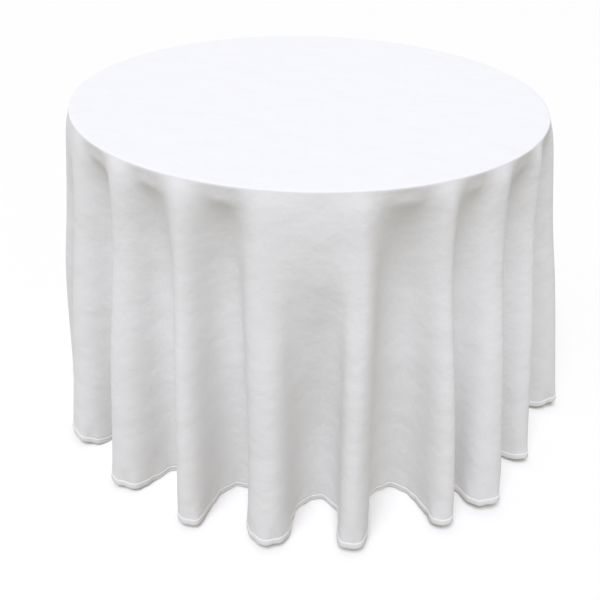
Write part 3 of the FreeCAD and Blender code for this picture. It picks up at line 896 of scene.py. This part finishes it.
@dataclass
class Tablecloth:
    """The cloth, its hem and its stitches.

    Attributes:
        reach: The radius of the covered top, at the cloth.
        top: The height of the covered top.
        edge_radius: The radius that the cloth bends through at the top's edge.
        edge_clearance: How far inside the reach the cloth may settle beside the top's edge.
        edge_depth: How far down from the covered top the cloth is held outside the edge.
        skirt_length: The length of the cloth from the start of that bend to the hem's fold.
        columns: The points round the skirt before it is refined.
        first_step: The first step down the skirt, which grows by row_growth until it is row_step.
        hem_width: The width of the doubled hem.
        hem_thickness: Its thickness.
        mean_spread: How much wider than the top the hem is, half way between its ridges and valleys.
        tuck: How far the skirt draws in under the top on its way down.
        first_slope: How steeply a valley may fall in just under the edge.
        closed_stand: How far out a valley's place stands before the valley begins, as a share of how far the
            ridges beside it do.
        top_rings: The radii of the rings of points on the flat top.
        stitch_inset: The distance of the stitches from the hem's upper edge.
        stitch_pitch: The length of a stitch and the gap after it.
        stitch_share: The share of it that the stitch fills.
        stitch_radius: The thread's radius.
        pucker_reach: How far up the skirt the hem's puckers go.
        pucker_lift: How much they lift the hem, for how much they move it out.
        pucker_sag: How far they may lower it.
        puckers: The waves that they are made of: the number round the hem, the size and the start of each.
    """

    reach: float
    top: float
    edge_radius: float = 0.0025
    edge_clearance: float = 0.0004
    edge_depth: float = 0.034
    skirt_length: float = 0.760
    columns: int = 552
    first_step: float = 0.004
    row_growth: float = 1.18
    row_step: float = 0.0105
    hem_width: float = 0.015
    hem_thickness: float = 0.0018
    mean_spread: float = 0.096
    tuck: float = 0.013
    first_slope: float = 0.7
    closed_stand: float = 0.85
    top_rings: tuple[float, ...] = (0.02, 0.14, 0.28, 0.42, 0.50, 0.525)
    stitch_inset: float = 0.0025
    stitch_pitch: float = 0.0038
    stitch_share: float = 0.78
    stitch_radius: float = 0.00045
    pucker_reach: float = 0.07
    pucker_lift: float = 0.5
    pucker_sag: float = 0.0015
    puckers: tuple[tuple[int, float, float], ...] = (
        (97, 0.0014, 0.3), (143, 0.0013, 2.1), (211, 0.0010, 4.0), (59, 0.0014, 1.2), (317, 0.0006, 5.1)
    )

    def __post_init__(self) -> None:
        """Work out the rows down the skirt, the columns round it, and its ridges and valleys."""
        self.arc = self.edge_radius * math.pi / 2
        self.flat_start = self.reach - self.edge_radius
        rows = [0.0, self.arc / 2, self.arc]
        step = self.first_step
        end = self.skirt_length - self.hem_width
        while rows[-1] + step < end - step / 2:
            rows.append(rows[-1] + step)
            step = min(step * self.row_growth, self.row_step)
        rows += [end, end + self.hem_width / 2, self.skirt_length]
        self.rows = np.array(rows)
        self.bearings = self.bearings_of(self.columns)
        self.rim_nodes = self.full_turn([bearing for flute in FLUTES for bearing in flute.rim])
        self.hem_nodes = self.full_turn([bearing for flute in FLUTES for bearing in flute.hem])
        waves = {crest: PleatWave(lean=crest.value) for crest in Crest}
        pairs = zip(FLUTES, FLUTES[1:] + FLUTES[:1])
        self.flanks = [waves[crest] for flute, ahead in pairs for crest in (flute.after, ahead.before)]
        self.hem_scale = np.ones(len(self.flanks))
        wanted = np.array([radius for flute in FLUTES for radius in flute.radii])
        made = self.folds(self.skirt_length)[2][:-1]
        self.hem_scale = (wanted - self.reach - self.mean_spread) / made

    @staticmethod
    def bearings_of(columns: int) -> Points:
        """The bearings of points spread evenly round the table.

        Args:
            columns: Their number.

        Returns:
            Their bearings in radians, from -X round by the front.
        """
        return np.linspace(0.0, FULL_TURN, columns, endpoint=False) - math.pi / 2

    @staticmethod
    def full_turn(degrees: list[float]) -> Points:
        """Close a list of bearings on itself.

        Args:
            degrees: Ridge, valley, ridge, and so on.

        Returns:
            The same in radians, ending with the first ridge one turn further.
        """
        return np.radians(degrees + [degrees[0] + 360.0])

    # ---- shapes ------------------------------------------------------------------------------------------
    def folds(self, distance: float) -> tuple[float, Points, Points, list[float]]:
        """The ridges and valleys at one distance from the top, which take up the right length of cloth.

        Args:
            distance: The way down the cloth from the start of its edge.

        Returns:
            The mean radius, the bearing of each ridge and valley, how far each stands out from the mean,
            and the swing of the cloth between each and the next.
        """
        below = distance - self.arc
        share = below / (self.skirt_length - self.arc)
        mean = self.reach + self.mean_spread * share - self.tuck * math.sin(math.pi * min(1.0, 2 * share))
        blend = smooth(0.0, 0.9, share)
        nodes = self.rim_nodes * (1 - blend) + self.hem_nodes * blend
        arcs = np.diff(self.rim_nodes) * (self.flat_start + distance)
        chords = np.diff(nodes) * mean
        ratios = np.minimum(1.0, chords / arcs)
        swings = [wave.swing_for(ratio) for wave, ratio in zip(self.flanks, ratios)]
        heights = arcs * [wave.read(swing, np.zeros(1))[2] for wave, swing in zip(self.flanks, swings)]
        steepest = self.first_slope * below * (1 + 12 * share)
        return mean, nodes, self.node_offsets(np.minimum(heights, steepest), share), swings

    def pleated_row(self, distance: float) -> tuple[Points, Points]:
        """The plan of the skirt at one distance from the top.

        Args:
            distance: The way down the cloth from the start of its edge.

        Returns:
            The bearing and the radius of each column.
        """
        mean, nodes, offsets, swings = self.folds(distance)
        bearing = np.empty(self.columns)
        radius = np.empty(self.columns)
        turned = (self.bearings - self.rim_nodes[0]) % FULL_TURN + self.rim_nodes[0]
        flank = np.clip(np.searchsorted(self.rim_nodes, turned, side="right") - 1, 0, len(swings) - 1)
        for i, (wave, swing) in enumerate(zip(self.flanks, swings)):
            inside = flank == i
            part = (turned[inside] - self.rim_nodes[i]) / (self.rim_nodes[i + 1] - self.rim_nodes[i])
            if i % 2:
                along, across, _ = wave.read(swing, 1 - part)
                along, across = 1 - along, 1 - across
            else:
                along, across, _ = wave.read(swing, part)
            bearing[inside] = nodes[i] + (nodes[i + 1] - nodes[i]) * along
            radius[inside] = mean + offsets[i] + (offsets[i + 1] - offsets[i]) * across
        return bearing, radius

    def node_offsets(self, heights: Points, share: float) -> Points:
        """How far each ridge and valley stands out from the mean radius.

        Args:
            heights: The height of the fold between each ridge or valley and the next.
            share: The share of the drop.

        Returns:
            The offsets, ending with the first one again.
        """
        side = np.where(np.arange(len(heights)) % 2 == 0, 1.0, -1.0)
        offsets = side * (heights + np.roll(heights, 1)) / 4
        offsets *= 1 + (self.hem_scale - 1) * share
        for i, flute in enumerate(FLUTES):
            if flute.onset:
                opened = float(smooth(flute.onset * 0.5, flute.onset + 0.45, share))
                beside = (offsets[2 * i] + offsets[(2 * i + 2) % len(offsets)]) / 2
                offsets[2 * i + 1] = beside * self.closed_stand * (1 - opened) + offsets[2 * i + 1] * opened
        return np.append(offsets, offsets[0])

    def laid_up(self) -> Points:
        """The pleated skirt before it settles.

        Returns:
            Its points, by row and column.
        """
        grid = np.empty((len(self.rows), self.columns, 3))
        for k, distance in enumerate(self.rows):
            on_edge = distance <= self.arc + TINY
            turn = distance / self.edge_radius
            edge = self.bearings, self.flat_start + self.edge_radius * math.sin(turn)
            bearing, radius = edge if on_edge else self.pleated_row(distance)
            grid[k, :, 0] = radius * np.sin(bearing)
            grid[k, :, 1] = -radius * np.cos(bearing)
            if on_edge:
                grid[k, :, 2] = self.top - self.edge_radius * (1 - math.cos(turn))
            else:
                step = distance - self.rows[k - 1]
                moved = np.linalg.norm(grid[k, :, :2] - grid[k - 1, :, :2], axis=1)
                grid[k, :, 2] = grid[k - 1, :, 2] - np.sqrt(np.maximum(step**2 - moved**2, (0.3 * step) ** 2))
        return grid

    def cut_flat(self) -> Points:
        """The same points on the flat cut cloth.

        Returns:
            Its points, by row and column, round the middle of the cloth.
        """
        radius = self.flat_start + self.rows[:, None]
        flat = np.zeros((len(self.rows), self.columns, 3))
        flat[:, :, 0] = radius * np.sin(self.bearings)[None, :]
        flat[:, :, 1] = -radius * np.cos(self.bearings)[None, :]
        flat[:, :, 2] = self.top
        return flat

    # ---- pieces ------------------------------------------------------------------------------------------
    def refine(self, skirt: Points) -> Points:
        """Put a smooth new column half way between each two.

        Args:
            skirt: The skirt's points, by row and column.

        Returns:
            The skirt with twice the columns.
        """
        before, after, further = (np.roll(skirt, turn, axis=1) for turn in (1, -1, -2))
        middle = (9 * (skirt + after) - before - further) / 16
        return np.stack([skirt, middle], axis=2).reshape(len(skirt), -1, 3)

    def pucker(self, skirt: Points) -> Points:
        """Draw the hem up into the small waves that its stitching makes.

        Args:
            skirt: The skirt's points, by row and column.

        Returns:
            The puckered skirt.
        """
        turns = np.linspace(0.0, FULL_TURN, skirt.shape[1], endpoint=False)
        swell = sum(size * np.sin(count * turns + start) for count, size, start in self.puckers)
        near = smooth(self.skirt_length - self.pucker_reach, self.skirt_length, self.rows)
        lift = np.roll(swell, len(swell) // 3) * self.pucker_lift
        moved = outward(skirt) * (near[:, None] * swell[None, :])[:, :, None]
        moved[:, :, 2] += near[:, None] * np.maximum(lift, -self.pucker_sag)[None, :]
        return skirt + moved

    def make_sheet(self, skirt: Points) -> bpy.types.Object:
        """The whole cloth: the flat round top and the settled skirt.

        Args:
            skirt: The skirt's points, by row and column.

        Returns:
            The cloth.
        """
        bearings = self.bearings_of(skirt.shape[1])
        round_ring = np.stack([np.sin(bearings), -np.cos(bearings)], 1)
        inner = np.array(self.top_rings)
        disc = np.full((len(inner), len(bearings), 3), self.top)
        disc[:, :, :2] = inner[:, None, None] * round_ring[None]
        mesh = grid_mesh("cloth_sheet", np.concatenate([disc, skirt]), middle=(0.0, 0.0, self.top))
        sheet = stand("cloth_sheet", mesh)
        radii = np.concatenate([inner, self.flat_start + self.rows])
        spots = (radii[:, None, None] * round_ring[None]).reshape(-1, 2) / ClothFinish().cut_width + 0.5
        spots = np.vstack([spots, [[0.5, 0.5]]])
        layer = mesh.uv_layers.new(name="cut")
        corners = np.empty(len(mesh.loops), int)
        mesh.loops.foreach_get("vertex_index", corners)
        layer.data.foreach_set("uv", spots[corners].astype(np.float32).ravel())
        return sheet

    def make_hem(self, skirt: Points) -> bpy.types.Object:
        """The doubled hem: a thin band that wraps the cloth's edge.

        Args:
            skirt: The skirt's points, by row and column.

        Returns:
            The hem.
        """
        out = outward(skirt)[-3:]
        fall = skirt[-1] - skirt[-2]
        down = fall / np.linalg.norm(fall, axis=1)[:, None]
        lines, half = skirt[-3:], self.hem_thickness / 2
        ring = [lines[k] + (down * low + out[k] * far) * half for k, low, far in HEM_SECTION]
        return stand("hem_band", grid_mesh("hem_band", np.array(ring), tube=True))

    def make_stitches(self, skirt: Points) -> bpy.types.Object:
        """The stitches that hold the hem, on both of its faces.

        Args:
            skirt: The skirt's points, by row and column.

        Returns:
            The stitches.
        """
        part = self.stitch_inset / (self.hem_width / 2)
        outs = outward(skirt)
        line, out = (rows[-3] * (1 - part) + rows[-2] * part for rows in (skirt, outs))
        closed, normals = np.vstack([line, line[:1]]), np.vstack([out, out[:1]])
        walked = np.concatenate([[0.0], np.cumsum(np.linalg.norm(np.diff(closed, axis=0), axis=1))])
        count = int(walked[-1] / self.stitch_pitch)
        begin = np.arange(count) * walked[-1] / count
        end = begin + self.stitch_pitch * self.stitch_share
        middle = (begin + end) / 2
        places = [self.read_path(walked, closed, np.minimum(at, walked[-1])) for at in (begin, middle, end)]
        lift = self.read_path(walked, normals, middle)
        verts = np.concatenate([self.spindles(places, lift * side.value) for side in Side])
        sides, rings = STITCH_SIDES, len(STITCH_RINGS)
        wall = [(k + i, k + (i + 1) % sides, k + sides + (i + 1) % sides, k + sides + i)
                for k in range(0, sides * (rings - 1), sides) for i in range(sides)]
        caps = [range(sides)[::-1], range(sides * (rings - 1), sides * rings)]
        begins = (np.arange(len(verts)) * sides * rings)[:, None, None]
        faces: list[list[int]] = []
        for unit in (wall, caps):
            faces += (np.array(unit) + begins).reshape(-1, len(unit[0])).tolist()
        mesh = bpy.data.meshes.new("hem_stitches")
        mesh.from_pydata(verts.reshape(-1, 3).tolist(), [], faces)
        mesh.polygons.foreach_set("use_smooth", [True] * len(mesh.polygons))
        return stand("hem_stitches", mesh)

    @staticmethod
    def read_path(walked: Points, path: Points, at: Points) -> Points:
        """Points on a path.

        Args:
            walked: The distance walked at each of the path's points.
            path: The path's points.
            at: The distances to read.

        Returns:
            The points there.
        """
        return np.stack([np.interp(at, walked, path[:, axis]) for axis in range(3)], 1)

    def spindles(self, places: list[Points], lift: Points) -> Points:
        """Small spindles that lie on the cloth and dip into it at both ends.

        Args:
            places: The beginning, the middle and the end of each stitch.
            lift: The way out of the cloth at each stitch.

        Returns:
            Their points, stitch by stitch.
        """
        ahead = places[2] - places[0]
        ahead /= np.maximum(np.linalg.norm(ahead, axis=1), TINY)[:, None]
        across = np.cross(ahead, lift)
        turns = np.linspace(0, FULL_TURN, STITCH_SIDES, endpoint=False)[None, :, None]
        section = np.cos(turns) * lift[:, None, :] + np.sin(turns) * across[:, None, :]
        rows = []
        for place, (size, share, rise) in zip(places, STITCH_RINGS):
            centre = place + lift * (self.hem_thickness / 2 * share + rise)
            rows.append(centre[:, None, :] + self.stitch_radius * size * section)
        return np.concatenate(rows, axis=1)

    def build(self) -> tuple[bpy.types.Object, bpy.types.Object, bpy.types.Object]:
        """Make the cloth.

        Returns:
            The sheet, its hem and its stitches.
        """
        skirt = self.laid_up()
        edge, edge_low = self.reach - self.edge_clearance, self.top - self.edge_depth
        skirt = Settling(cut=self.cut_flat(), guide=skirt, edge=edge, edge_low=edge_low).run()
        skirt = self.pucker(self.refine(skirt))
        pieces = self.make_sheet(skirt), self.make_hem(skirt), self.make_stitches(skirt)
        linen, thread = ClothFinish().make(), ThreadFinish().make()
        for piece, material in zip(pieces, (linen, linen, thread)):
            dress(piece, material)
        return pieces


# ---------------------------------------------------------------------------------------------------------
# The table under the cloth
# ---------------------------------------------------------------------------------------------------------
@dataclass(frozen=True)
class TableHardware:
    """The finishes of the folding table's pieces, which the frame brings."""

    plywood: Finish = BoardFinish("sealed_plywood", (0.72, 0.55, 0.36), (0.50, 0.34, 0.19))
    hardwood: Finish = BoardFinish("oiled_hardwood", (0.50, 0.33, 0.19), (0.32, 0.19, 0.10), rings=16.0)
    edge: Finish = MouldedFinish("brown_edge_vinyl", (0.11, 0.085, 0.07), (0.15, 0.12, 0.10))
    rubber: Finish = MouldedFinish(
        "black_foot_rubber", (0.025, 0.025, 0.026), (0.06, 0.058, 0.055), gloss=(0.7, 0.9), grain=0.0002
    )
    coat: Finish = PowderCoatFinish()
    zinc: Finish = ZincFinish()

    def wearers(self) -> dict[Finish, tuple[str, ...]]:
        """The pieces that wear each finish.

        Returns:
            The start of the pieces' names, by finish.
        """
        return {
            self.plywood: ("top_panel",),
            self.hardwood: ("batten_left", "batten_right"),
            self.edge: ("edge_band",),
            self.rubber: ("foot_",),
            self.coat: ("leg_a_", "leg_b_", "crossbar_a", "crossbar_b"),
            self.zinc: (
                "leg_bracket_", "hook_stay_", "stay_bracket_", "stay_pin_", "pivot_", "crossbar_collars_",
                "bracket_screws", "stay_screws", "batten_screws",
            ),
        }

    def dress(self, nodes: dict[str, bpy.types.Object]) -> None:
        """Give every piece of the table its finish.

        Args:
            nodes: The frame's pieces by name.
        """
        for finish, starts in self.wearers().items():
            material = finish.make()
            for name, node in nodes.items():
                if name.startswith(starts):
                    dress(node, material)


def main() -> None:
    """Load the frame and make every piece."""
    logging.basicConfig(level=logging.INFO, format="%(message)s")
    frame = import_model()
    cloth_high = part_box("cloth_panel")[1]
    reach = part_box("edge_band")[1].x + COVER_DEPTH
    TableHardware().dress(frame["nodes"])
    studio = Studio(reach=reach, top=cloth_high.z)
    studio.make_camera()
    studio.make_floor()
    studio.make_lights()
    cloth = Tablecloth(reach=reach, top=cloth_high.z)
    sheet, hem, stitches = cloth.build()
    for piece, slot in ((sheet, "cloth_fabric"), (hem, "cloth_fabric"), (stitches, "cloth_thread")):
        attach(piece, "cloth")
        LOG.info("%s: %d faces", piece.name, len(piece.data.polygons))
    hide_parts("cloth_panel")
    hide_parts("cloth_hem")
    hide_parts("hem_thread")


if __name__ == "__main__":
    main()
